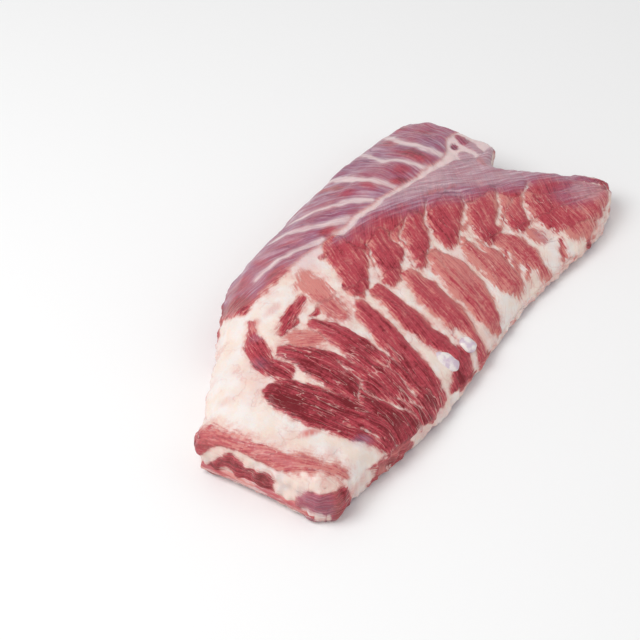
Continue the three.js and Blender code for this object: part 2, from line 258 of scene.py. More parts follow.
# Red muscle that no silverskin covers, on the back and under the seam, and one very dark patch that is painted
# shade of a hole in the back edge.
BARE_AND_HOLE_SHADE_PATCHES = (
    Patch((115, 168), (13, 24), -8, 1.0), Patch((136, 184), (13, 13), 0, 0.75),
    Patch((149, 155), (14, 6), 0, 0.85), Patch((163, 178), (5, 15), -20, 0.5),
    Patch((217, 153), (14, 6), 4, 1.0), Patch((249, 150), (11, 4), 0, 0.45),
    Patch((281, 196), (6, 17), -8, 1.0), Patch((286, 162), (6, 9), 0, 0.8),
    Patch((270, 171), (5, 10), 15, 0.6), Patch((309, 145), (11, 4), -25, 1.0),
    Patch((322, 152), (9, 8), 0, 0.8), Patch((351, 160), (10, 21), 0, 1.0),
    Patch((369, 194), (7, 12), -30, 0.8), Patch((403, 206), (6, 9), -35, 0.8),
    Patch((385, 110), (3, 9), -18, 1.0), Patch((316, 114), (13, 3), -18, 0.9),
    Patch((333, 107), (9, 2.4), -30, 0.7), Patch((279, 122), (9, 3), -15, 0.6),
    Patch((230, 132), (10, 8), 0, 0.8), Patch((204, 130), (10, 9), 30, 0.6),
    # painted shade: the patch at (360, 222) darkens a hole in the back edge, with no hollow in the flesh
    Patch((360, 222), (12, 4), -8, 2.4), Patch((398, 178), (6, 12), 10, 0.6),
    Patch((243, 176), (5, 16), 30, 0.5), Patch((197, 170), (4, 15), 55, 0.45),
)
# Bits of silverskin on the fat.
SILVER_PATCHES = (
    Patch((57, 10), (11, 5), -35, 0.8), Patch((391, 124), (7, 6), 0, 0.4),
    Patch((433, 40), (10, 7), -40, 0.6), Patch((352, 22), (9, 12), 10, 0.4),
    Patch((66, 110), (6, 9), 20, 0.25), Patch((87, 128), (6, 5), 0, 0.3),
    Patch((412, 32), (26, 16), -35, 0.6), Patch((396, 142), (22, 17), 0, 0.5),
    Patch((414, 120), (6, 12), 0, 0.3),
)
# A patch of painted sheen where silverskin thins out at the far tip, and where fat frays a salmon muscle of
# the shoulder.
TIP_SHEEN = Patch((424, 24), (18, 14), -35, 1.0)
SHOULDER_FRAY = Patch((156, 118), (14, 26), -15, 0.8)
# Salmon muscle and blood that shine through thin fat.
SALMON_PATCHES = (
    Patch((119, 137), (10, 6), 0, 0.5), Patch((36, 41), (9, 5), -20, 1.0),
    Patch((27, 112), (4, 8), 10, 0.3), Patch((14, 30), (6, 8), 0, 0.2), Patch((352, 60), (10, 6), 20, 0.3),
    Patch((333, 125), (17, 5), -8, 0.9), Patch((368, 110), (13, 7), -5, 0.8),
    Patch((372, 158), (4, 7), 0, 0.7), Patch((262, 52), (9, 17), -5, 0.65),
    Patch((196, 44), (5, 16), 0, 0.3), Patch((97, 138), (9, 5), 0, 0.7),
    Patch((174, 136), (10, 6), 10, 0.35), Patch((296, 44), (8, 14), 0, 0.4),
    Patch((228, 40), (7, 18), 0, 0.3), Patch((414, 26), (10, 8), -40, 0.3),
)

# Heights of the belly side and of the cut shoulder end, and the end's layers as shares of its height at
# places across it.
BELLY_TALL = 24
WALL_TALL = 36
BAND_FOOT = ((20, 1.3), (36, 1.05), (46, 0.9), (56, 0.93), (70, 1.03), (90, 1.0), (100, 0.85),
             (110, 0.58), (120, 0.3))
STRIP_TOP = ((46, 0.66), (70, 0.62), (90, 0.66), (100, 0.45), (108, 0.2), (114, 0.0))
STRIP_FOOT = ((46, 0.2), (60, 0.24), (80, 0.27), (93, 0.3), (99, 0.05), (110, -0.1))
STRIP_STARTS = 46
PATCH_TOP = ((-10, 0.9), (0, 0.9), (14, 0.8), (20, 0.6), (25, 0.45), (29, 0.2), (34, -0.2))
PATCH_FOOT = ((-6, 0.3), (8, 0.34), (20, 0.26), (29, 0.15))
# Dark ends of muscle on it: place across, share of the height, and half sizes.
WALL_SPOTS = (((11, 0.08), (6, 0.08)), ((101, 0.17), (5, 0.15)))

# The belly side. Its dark muscle at the corner: how far it reaches, how much less higher up, rim and shade.
CORNER_MUSCLE = (27, 18, 0.85, 0.9)
# Ends of muscle along it: from and to, the share of the height that each starts at, the most that it is deep,
# whether its rim is torn, and its shade.
End = namedtuple("End", "start stop foot thick torn shade")
ENDS = (End(49, 101, -9, 4, True, 0.92), End(98, 142, 0.68, 99, True, 0.8),
        End(171, 197, 0.42, 99, False, 0.85), End(203, 224, 0.3, 99, False, 0.5))
TORN_AWAY = 1.5
# A slash in the fat by the flank: place, lean, half width, rim and shade. Flecks of muscle, from one place on.
SLASH = (380, 8, 3, 0.85, 0.95)
FLECKS_START = 230
FLECKS_SHADE = 0.4
# How far the shoulder end and the flank end count as such, the share of the height where the rim of fat
# starts on the sawn back and on the flank, the middle of the flank's layer of fat, and the two shades.
NEAR_UP_TO = 60
FAR_FROM = 380
SAWN_RIM = 0.78
FLANK_TOP = 0.86
FLANK_FAT = 0.5
SAWN_SHADE = 0.88
FLANK_SHADE = 0.7


def curve(keys, at):
    """A smooth curve through a few stations, with slopes taken from each station's neighbours."""
    stations, values = np.array(keys, float).T
    slopes = np.gradient(values, stations)
    at = np.clip(at, stations[0], stations[-1])
    i = np.clip(np.searchsorted(stations, at, side="right") - 1, 0, len(stations) - 2)
    gap = stations[i + 1] - stations[i]
    t = (at - stations[i]) / gap
    return ((2 * t**3 - 3 * t**2 + 1) * values[i] + (t**3 - 2 * t**2 + t) * gap * slopes[i]
            + (3 * t**2 - 2 * t**3) * values[i + 1] + (t**3 - t**2) * gap * slopes[i + 1])


def mix(a, b, t):
    return a + (b - a) * t


def step(low, high, value):
    """0 below low, 1 above high and smooth between."""
    t = np.clip((value - low) / (high - low), 0, 1)
    return t * t * (3 - 2 * t)


def pick(where, new, old):
    """The new fields where the mask holds, and the old ones elsewhere."""
    return tuple(np.where(where, a, b) for a, b in zip(new, old))


def ripples(points, size, seed, waves=10):
    """Smooth lumps about size apart, mostly between -1 and 1, from waves in seeded directions."""
    draw = np.random.default_rng(seed)
    total = np.zeros(len(points))
    for _ in range(waves):
        way = draw.normal(size=3)
        way /= np.linalg.norm(way)
        length = size * draw.uniform(1.5, 2.8)
        total += np.sin(2 * np.pi * (points @ way) / length + draw.uniform(0, 2 * np.pi))
    return total / math.sqrt(waves)


def rib_line(rib, y):
    """How far along the rack a rib's centre line lies at y. Ribs are counted from 0."""
    t = (rib - 1) / (RIB_COUNT - 2)
    second = SECOND_RIB + FIRST_LEAN * (y - LEAN_FROM)
    first = curve(SHOULDER_END, y) + FIRST_RIB_INSET
    later = mix(SECOND_RIB, LAST_RIB, t) + mix(FIRST_LEAN, LAST_LEAN, t) * (y - LEAN_FROM)
    return np.where(rib < 1, mix(first, second, rib), later)


def rib_at(x, y):
    """Which rib, or place between ribs, a point belongs to."""
    first, second, last = rib_line(0, y), rib_line(1, y), rib_line(RIB_COUNT - 1, y)
    later = 1 + (RIB_COUNT - 2) * (x - second) / (last - second)
    return np.where(x < second, (x - first) / (second - first), later)


def vault(x, y):
    near = curve(BELLY_EDGE, x) + FOOT_WIDTH
    far = curve(BACK_EDGE, x) - FOOT_WIDTH
    s = np.clip((y - near) / (far - near), 0, 1)
    return curve(VAULT_HEIGHT, x) * (4 * s * (1 - s)) ** 0.85


def bottom_height(x, y):
    hollow = HOLLOW_DEPTH * (0.5 - 0.5 * np.cos(2 * np.pi * rib_at(x, y)))
    return np.maximum(0, vault(x, y) + hollow - RESTING_CUT)


def top_height(x, y):
    belly, back = curve(BELLY_EDGE, x), curve(BACK_EDGE, x)
    crest, line = curve(CREST_HEIGHT, x), curve(CREST_LINE, x)
    low = np.where(y < line, curve(BELLY_HEIGHT, x), curve(BACK_HEIGHT, x))
    t = np.clip(np.where(y < line, (y - belly) / (line - belly), (back - y) / (back - line)), 0, 1)
    return low + (crest - low) * np.sin(t * np.pi / 2) - 1


def rounded(a, b, c):
    """Where a corner's coordinate a goes when a cube's corner is drawn in to a ball's."""
    return a * np.sqrt(1 - b * b / 2 - c * c / 2 + b * b * c * c / 3) - a


def place(long, wide, high):
    """A place of the block in the rack's measure. Each input runs from 0 to 1, and the edges are rounded."""
    rough_x = long * RACK_LENGTH
    rough_y = mix(curve(BELLY_EDGE, rough_x), curve(BACK_EDGE, rough_x), wide)
    near, far = curve(SHOULDER_END, rough_y), curve(FLANK_END, rough_y)
    x = mix(near, far, long)
    belly, back = curve(BELLY_EDGE, x), curve(BACK_EDGE, x)
    y = mix(belly, back, wide)
    top, bottom = top_height(x, y), bottom_height(x, y)
    z = mix(bottom, top, high)
    upper = high > 0.5
    tall = np.where(upper, TOP_ROUND, BOTTOM_ROUND)
    across = np.interp(x, *zip(*PLAN_ROUND))
    a = np.clip(1 - np.where(long < 0.5, x - near, far - x) / across, 0, 1)
    b = np.clip(1 - np.where(wide < 0.5, y - belly, back - y) / across, 0, 1)
    c = np.clip(1 - np.where(upper, top - z, z - bottom) / tall, 0, 1)
    x = x + np.where(long < 0.5, -1, 1) * across * rounded(a, b, c)
    y = y + np.where(wide < 0.5, -1, 1) * across * rounded(b, a, c)
    z = z + np.where(upper, 1, -1) * tall * rounded(c, a, b)
    return np.stack([x, y, z], axis=-1)


def grid_faces(rows, columns, code, flip):
    """Quads between neighbouring rows and columns, by the codes of their corners."""
    r, c = np.meshgrid(np.arange(len(rows) - 1), np.arange(len(columns) - 1), indexing="ij")
    corners = [code(rows[r + i], columns[c + j]).ravel() for i, j in ((0, 0), (1, 0), (1, 1), (0, 1))]
    return np.stack(corners[::-1] if flip else corners, axis=-1)


def hem_faces(columns, code, flip):
    """Triangles that join a fine row of points, one step up, to every second point of the row at the foot."""
    low = columns[:-2:2]
    a, b = code(low, 0), code(low + 2, 0)
    c, d, e = code(low, 1), code(low + 1, 1), code(low + 2, 1)
    corners = np.concatenate([np.stack(three, axis=-1) for three in ((a, b, d), (a, d, c), (b, e, d))])
    return corners[:, ::-1] if flip else corners


def block(steps_long, steps_wide, steps_high):
    """Lattice places and faces of a closed block, fine above and half as fine on its underside."""
    across = steps_wide + 1
    up = steps_high + 1

    def code(i, j, k):
        return (i * across + j) * up + k

    i, j, k = np.arange(steps_long + 1), np.arange(across), np.arange(1, up)
    quads = [
        grid_faces(i, j, lambda a, b: code(a, b, steps_high), False),
        grid_faces(i[::2], j[::2], lambda a, b: code(a, b, 0), True),
        grid_faces(i, k, lambda a, b: code(a, 0, b), False),
        grid_faces(i, k, lambda a, b: code(a, steps_wide, b), True),
        grid_faces(j, k, lambda a, b: code(0, a, b), True),
        grid_faces(j, k, lambda a, b: code(steps_long, a, b), False),
    ]
    hems = [
        hem_faces(i, lambda a, b: code(a, 0, b), False),
        hem_faces(i, lambda a, b: code(a, steps_wide, b), True),
        hem_faces(j, lambda a, b: code(0, a, b), True),
        hem_faces(j, lambda a, b: code(steps_long, a, b), False),
    ]
    quads, hems = np.concatenate(quads), np.concatenate(hems)
    used, index = np.unique(np.concatenate([quads.ravel(), hems.ravel()]), return_inverse=True)
    faces = index[:quads.size].reshape(-1, 4).tolist() + index[quads.size:].reshape(-1, 3).tolist()
    i, j, k = used // (across * up), used // up % across, used % up
    return np.stack([i / steps_long, j / steps_wide, k / steps_high]), faces


def spaced(t):
    """Steps a little finer by both ends, where the edges are round."""
    return mix(t, 0.5 - 0.5 * np.cos(np.pi * t), 0.3)


def muscle_field(x, y, muscle):
    """Depth inside a muscle, in mm and negative outside, places along and across its fibres, its shade."""
    spine = np.array(muscle.spine, float)
    t = np.linspace(0, 1, DISCS)
    weights = np.stack([(1 - t) * (1 - 2 * t), 4 * t * (1 - t), t * (2 * t - 1)], axis=-1)
    centres, halves = weights @ spine, weights @ np.array(muscle.widths) / 2
    tangents = np.gradient(centres, axis=0)
    tangents /= np.linalg.norm(tangents, axis=1)[:, None]
    run = np.concatenate([[0], np.cumsum(np.linalg.norm(np.diff(centres, axis=0), axis=1))])
    found = np.full(len(x), OUTSIDE), np.zeros(len(x)), np.zeros(len(x))
    for (cx, cy), half, (tx, ty), start in zip(centres, halves, tangents, run):
        dx, dy = x - cx, y - cy
        here = half - np.hypot(dx, dy), start + dx * tx + dy * ty, dx * ty - dy * tx
        found = pick(here[0] > found[0], here, found)
    depth, along, across = found
    return depth, along, across, mix(*muscle.shades, np.clip(along / run[-1], 0, 1))


def line_field(x, y, line):
    """Distance outside a line, in mm and negative inside it."""
    best = np.full(len(x), -OUTSIDE)
    points = np.array(line.points, float)
    parts = len(points) - 1
    for k in range(parts):
        (ax, ay), (bx, by) = points[k], points[k + 1]
        dx, dy = bx - ax, by - ay
        t = np.clip(((x - ax) * dx + (y - ay) * dy) / (dx * dx + dy * dy), 0, 1)
        half = mix(line.halves[0], line.halves[1], (k + t) / parts)
        best = np.minimum(best, np.hypot(x - ax - t * dx, y - ay - t * dy) - half)
    return best


def patch_cover(x, y, patches):
    """How strongly the patches cover each place."""
    cover = np.zeros(len(x))
    for (cx, cy), (rx, ry), turn, strength in patches:
        cos, sin = math.cos(math.radians(turn)), math.sin(math.radians(turn))
        dx, dy = x - cx, y - cy
        away = np.hypot((dx * cos + dy * sin) / rx, (dy * cos - dx * sin) / ry)
        cover = np.maximum(cover, strength * step(1.35, 0.35, away))
    return cover


def back_fibres(x, y):
    """Place along and across the back's fibres, in mm. Each point's line is found by halving."""
    rise = np.maximum(y - curve(SEAM, x), 0)
    low, high = (np.full(len(x), float(foot)) for foot in FEET)
    for _ in range(HALVINGS):
        middle = (low + high) / 2
        beyond = middle + rise * curve(BACK_FANS, middle) > x
        low, high = np.where(beyond, low, middle), np.where(beyond, middle, high)
    feet = np.arange(FEET[0], FEET[1] + 1.0)
    counted = np.cumsum(1 / np.hypot(1, curve(BACK_FANS, feet)))
    return rise * np.hypot(1, curve(BACK_FANS, low)), np.interp(low, feet, counted)


def top_pattern(points):
    """The pattern of muscle, fat and silverskin seen from above."""
    # rims wander by 1.3 mm and 0.6 mm, and fibres by 1.2 mm in long waves
    x = points[:, 0] + 1.3 * ripples(points, 13, 1) + 0.6 * ripples(points, 5, 2)
    y = points[:, 1] + 1.3 * ripples(points, 13, 3) + 0.6 * ripples(points, 5, 4)
    straight_x = points[:, 0] + 1.2 * ripples(points, 45, 8)
    straight_y = points[:, 1] + 1.2 * ripples(points, 45, 9)
    turn = np.radians(np.interp(straight_x, *zip(*SHEET_TURN)))
    sheet_grain = ((straight_x - TURNS_AT) * np.cos(turn) + straight_y * np.sin(turn),
                   (straight_x - TURNS_AT) * np.sin(turn) - straight_y * np.cos(turn))
    grain = sheet_grain
    kept = np.full(len(x), OUTSIDE), np.full(len(x), 0.5), np.zeros(len(x)), np.zeros(len(x))
    for number, muscle in enumerate(VEILED + BLADES + FINGERS):
        d, _, _, s = muscle_field(x, y, muscle)
        if muscle in VEILED:
            d *= VEILED_RIM
        best = d > kept[0]
        kept = pick(best, (d, s, muscle.high, muscle in VEILED), kept)
        if muscle not in FINGERS:
            _, a, c, _ = muscle_field(straight_x, straight_y, muscle)
            grain = pick(best, (a + GRAIN_GAP * number, c), grain)
    depth, shade, high, veiled = kept
    grain = pick(depth < -OWN_REACH, sheet_grain, grain)
    depth += MUSCLE_SPREAD
    own = depth

    # one sheet of muscle joins the fingers under the seam
    seam = curve(SEAM, x)
    seam_half = curve(SEAM_HALF, x)
    sheet = np.minimum(y - curve(ROOTS, x), seam - seam_half - y)
    sheet = np.minimum(sheet, curve(FLANK_END, y) - curve(FLANK_RIM, y) - x)
    sheet = np.where(x < SHEET_STARTS, OUTSIDE, sheet)
    on_sheet = sheet > depth
    grain = pick(on_sheet, sheet_grain, grain)
    shade, high = pick(on_sheet, (SHEET_SHADE, SHEET_HIGH), (shade, high))
    depth = np.maximum(depth, sheet)

    # across the seam, the fibres of the back fan out from it
    back = np.minimum(y - seam - seam_half, x - BACK_STARTS - BACK_SLANT * (y - seam))
    on_back = back > depth
    along, across = pick(on_back, back_fibres(straight_x, straight_y), grain)
    # bare red muscle darkens the shade, and at one place it is painted shade of a hole
    bare = patch_cover(x, y, BARE_AND_HOLE_SHADE_PATCHES)
    back_shade = BACK_SHADE + 0.12 * ripples(points, 30, 5) + 0.35 * bare
    shade, high = pick(on_back, (back_shade, BACK_HIGH), (shade + 0.15 * bare, high))
    depth = np.maximum(depth, back)
    for septum in SEPTA:
        depth = np.minimum(depth, line_field(x, y, septum))

    # soft pale lines and the seam
    pale = np.zeros(len(x))
    for line in BACK_LINES:
        pale = np.maximum(pale, np.exp(-np.maximum(line_field(x, y, line) + 0.6, 0) / 1.4))
    pale *= step(0, 3, back)
    on_seam = np.exp(-np.maximum(np.abs(y - seam) - seam_half, 0) / 1.5) * step(150, 175, x)
    pale = np.maximum(pale, on_seam * step(1.5, -1.5, own))

    # silverskin over the back, and thinning out over the fingers
    silver_back = step(0, 4, back) * (0.85 + 0.15 * ripples(points, 26, 6)) * step(100, 128, x)
    rim = y - curve(SILVER_RIM, x) + 3 * ripples(points, 22, 7)
    silver_front = 0.95 * step(-6, 14, rim) * step(190, 225, x) * (y < seam)
    # painted sheen: pale wisps over the silverskin above the fingers and at the far tip, drawn with the pale
    # lines
    sheen = 0.4 * silver_front * step(4, 24, rim) + 0.25 * patch_cover(x, y, (TIP_SHEEN,))
    pale = np.maximum(pale, sheen)
    silver = np.maximum(silver_back, silver_front) * (1 - 0.85 * bare)
    silver = np.clip(np.maximum(silver, patch_cover(x, y, SILVER_PATCHES)), 0, 1)

    # fat frays and marbles the muscles by the flank, and marbles the blades, most by the belly edge
    fray = step(225, 275, x) * step(82, 66, y + 0.25 * (x - 300))
    fray = np.maximum(fray, patch_cover(x, y, (SHOULDER_FRAY,)))
    blade_tips = step(18, 4, y) * step(90, 110, x) * step(175, 150, x)
    marble = 0.3 + 0.35 * step(165, 140, x) + 0.4 * blade_tips + 0.3 * fray
    front = (y < seam) & (x > SHEET_STARTS)
    drape_x = np.where(front, straight_x, along)
    drape_y = np.where(front, straight_y - curve(SILVER_RIM, straight_x), across)
    stain = np.maximum(patch_cover(x, y, SALMON_PATCHES), VEILED_STAIN * veiled * step(-2, 2, depth))
    return {"depth": np.clip(depth, -DEPTH_LIMIT, DEPTH_LIMIT), "shade": shade, "silver": silver,
            "stain": stain, "pale": pale, "marble": marble, "fray": fray, "high": high,
            "grain": np.stack([along, across, 0 * x], axis=-1),
            "drape": np.stack([drape_x, drape_y, 0 * x], axis=-1)}


def shoulder_wall(y, share):
    """Depth in muscle, shade and veil of fat on the cut shoulder end: a band of muscle along its top, fat, a
    dark strip, another muscle by the belly, and two dark ends of muscle."""
    band = (share - curve(BAND_FOOT, y)) * WALL_TALL
    strip = np.minimum(curve(STRIP_TOP, y) - share, share - curve(STRIP_FOOT, y)) * WALL_TALL
    strip = np.minimum(strip, y - STRIP_STARTS)
    patch = np.minimum(curve(PATCH_TOP, y) - share, share - curve(PATCH_FOOT, y)) * WALL_TALL
    parts = [band, strip, patch]
    for (across, up), (wide, tall) in WALL_SPOTS:
        parts.append((1 - np.hypot((y - across) / wide, (share - up) / tall)) * 5)
    level = np.ones(len(y))
    shades = np.stack([mix(0.55, 0.85, step(92, 110, y)), 1.05 * level, mix(0.8, 0.5, step(6, 20, y)),
                       level, 1.25 * level])
    parts = np.stack(parts)
    chosen = parts.argmax(axis=0)
    veiled = step(-1, 3, band) * (chosen == 0) * step(112, 98, y)
    return parts.max(axis=0), np.take_along_axis(shades, chosen[None], axis=0)[0], veiled


def belly_wall(x, share, torn):
    """Depth and shade on the belly side: a dark muscle at the corner, torn flesh under the blades, and
    further on a pale rim with the ends of a few muscles."""
    reach, lean, rim, corner_shade = CORNER_MUSCLE
    parts = [np.minimum(reach - lean * np.maximum(share - 0.3, 0) - x, (rim - share) * BELLY_TALL + 1)]
    for end in ENDS:
        inside = np.minimum(np.minimum(x - end.start, end.stop - x), end.thick)
        inside = np.minimum(inside, (share - end.foot) * BELLY_TALL)
        parts.append(inside + end.torn * torn - end.torn * TORN_AWAY)
    middle, lean, half, rim, slash_shade = SLASH
    parts.append(np.minimum(half - np.abs(x - middle - lean * (1 - share)), (rim - share) * BELLY_TALL))
    parts.append(np.where(x > FLECKS_START, 0.8 * torn - 2.4, -9))
    shades = np.array([corner_shade, *(end.shade for end in ENDS), slash_shade, FLECKS_SHADE])
    parts = np.stack(parts)
    return parts.max(axis=0), shades[parts.argmax(axis=0)]


def wall_pattern(points, normals):
    """The pattern of the cut faces and torn edges."""
    x, y, z = points.T
    wobble = 0.03 * ripples(points, 20, 11) + 0.008 * ripples(points, 6, 17)
    share = z / np.maximum(top_height(x, y), 1) + wobble
    # the shoulder end, the sawn back and the flank end, by the way that each place faces
    near = step(0.35, 0.7, -normals[:, 0]) * (x < NEAR_UP_TO) * step(0.85, 0.6, normals[:, 1])
    behind = step(0.2, 0.5, normals[:, 1]) * (1 - near)
    far = step(0.4, 0.7, normals[:, 0]) * (x > FAR_FROM)
    torn = 3.2 * ripples(points, 7, 12) + 1.6 * ripples(points, 3, 13)
    end, end_shade, end_veiled = shoulder_wall(y, share)
    belly, belly_shade = belly_wall(x, share, torn)
    belly = np.where(normals[:, 1] > 0, -6, belly)
    # sawn back: dark flesh under a rim of fat, all fat by the shoulder
    rim = np.maximum(0, share - SAWN_RIM)
    sawn = 5 + 2.5 * ripples(points, 9, 14) - 26 * rim - 10 * step(100, 80, x)
    # flank: flesh over and under a layer of fat
    rim = np.maximum(0, share - FLANK_TOP)
    layers = 14 * np.abs(share - FLANK_FAT) + 2.4 * ripples(points, 12, 15) - 1.6 - 20 * rim
    depth = mix(mix(mix(belly, sawn, behind), end, near), layers, far)
    shade = mix(mix(mix(belly_shade, SAWN_SHADE, behind), end_shade, near), FLANK_SHADE, far)
    stain = mix(0.25 + 0.25 * ripples(points, 9, 16), 0.12, near)
    strip = near * step(0.26, 0.2, share) * step(28, 34, y)
    stain = np.maximum(stain, strip * (0.45 + 0.4 * ripples(points * (1, 0.3, 1), 3, 18)))
    stain = np.maximum(stain, VEILED_STAIN * near * end_veiled)
    silver = 0.45 * near * step(32, 20, y) + 0.5 * far * step(0.3, 0.8, share)
    return {"depth": np.clip(depth, -DEPTH_LIMIT, DEPTH_LIMIT), "shade": shade, "stain": np.clip(stain, 0, 1),
            "silver": silver, "pale": 0 * x, "marble": 0.6 + 0 * x, "fray": 0.3 + 0 * x}


def mesh_of(name, points, faces, fields):
    """A mesh in metres of the frame from points in the rack's measure, with its named attributes."""
    mesh = bpy.data.meshes.new(name)
    mesh.from_pydata(to_frame(points).tolist(), [], faces)
    mesh.shade_smooth()
    for field, values in fields.items():
        kind = "FLOAT" if values.ndim == 1 else "FLOAT_VECTOR"
        layer = mesh.attributes.new(field, kind, "POINT")
        layer.data.foreach_set("value" if values.ndim == 1 else "vector", values.astype(np.float32).ravel())
    return mesh


def to_frame(points):
    """The rack's measure in millimetres, turned to metres of the frame."""
    low, high = (np.array(corner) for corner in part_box("cartilage_1"))
    shift = np.array([*KNUCKLES["cartilage_1"][0], 0]) * MM - np.array([*((low + high) / 2)[:2], 0])
    return points * MM - shift


def linear(hex_colour):
    """An sRGB hex colour as linear red, green, blue and alpha."""
    parts = [int(hex_colour[i:i + 2], 16) / 255 for i in (1, 3, 5)]
    return [*(c / 12.92 if c <= 0.04045 else ((c + 0.055) / 1.055) ** 2.4 for c in parts), 1.0]


def add(tree, kind, settings, *values, **named):
    """Adds a node with its settings. Values fill its inputs in order, and named ones by name with _ for a
    space. A node given as a value is linked by its first output in use."""
    node = tree.nodes.new(kind)
    for key, value in settings.items():
        setattr(node, key, value)
    live = [socket for socket in node.inputs if socket.enabled]
    given = list(zip(live, values)) + [(node.inputs[name.replace("_", " ")], named[name]) for name in named]
    for socket, value in given:
        if isinstance(value, bpy.types.Node):
            value = next(output for output in value.outputs if output.enabled)
        if isinstance(value, bpy.types.NodeSocket):
            tree.links.new(value, socket)
        else:
            socket.default_value = value
    return node


# Kinds of node and their settings, as add takes them.
MATH, RANGE, MIX = "ShaderNodeMath", "ShaderNodeMapRange", "ShaderNodeMix"
NOISE, MAPPING, ATTRIBUTE = "ShaderNodeTexNoise", "ShaderNodeMapping", "ShaderNodeAttribute"
PLUS, MINUS, TIMES = {"operation": "ADD"}, {"operation": "SUBTRACT"}, {"operation": "MULTIPLY"}
TIMES_PLUS, SIZE_OF = {"operation": "MULTIPLY_ADD"}, {"operation": "ABSOLUTE"}
LARGER, PART_OF = {"operation": "MAXIMUM"}, {"operation": "FRACT"}
SOFT = {"interpolation_type": "SMOOTHSTEP"}
TINT = {"data_type": "RGBA", "clamp_factor": True}


def new_material(name):
    """An empty material, the function that adds its nodes, and the place that they start from."""
    material = bpy.data.materials.new(name)
    material.use_nodes = True
    material.node_tree.nodes.clear()
    make = functools.partial(add, material.node_tree)
    return material, make, make("ShaderNodeTexCoord", {}).outputs["Object"]


def finish_surface(make, colour, roughness, height, distance, **constants):
    """The shader, its bump and the output."""
    bump = make("ShaderNodeBump", {}, Height=height, Strength=0.7, Distance=distance)
    shader = make("ShaderNodeBsdfPrincipled", {}, Base_Color=colour, Roughness=roughness, Normal=bump,
                  **constants)
    make("ShaderNodeOutputMaterial", {}, Surface=shader)


# Streaks of the flesh: the attribute that they follow, repeats per mm along and across it, detail, roughness
# and distortion. Fibres are 1.2 mm across, bundles 4, frays 2, the silverskin's wisps 2.4 and the lines of
# painted shade in its creases 6.
STREAKS = {
    "fibres": ("grain", (0.06, 0.85), 3, 0.6, 0),
    "bundles": ("grain", (0.022, 0.25), 2, 0.5, 0),
    "frays": ("grain", (0.1, 0.5), 3, 0.6, 0),
    "threads": ("grain", (0.02, 0.13), 3, 0.5, 0.4),
    "flecks": ("grain", (0.11, 0.7), 4, 0.7, 0),
    "skin": ("drape", (0.035, 0.42), 5, 0.65, 0),
    "painted_crease_lines": ("drape", (0.024, 0.17), 4, 0.5, 0.3),
}


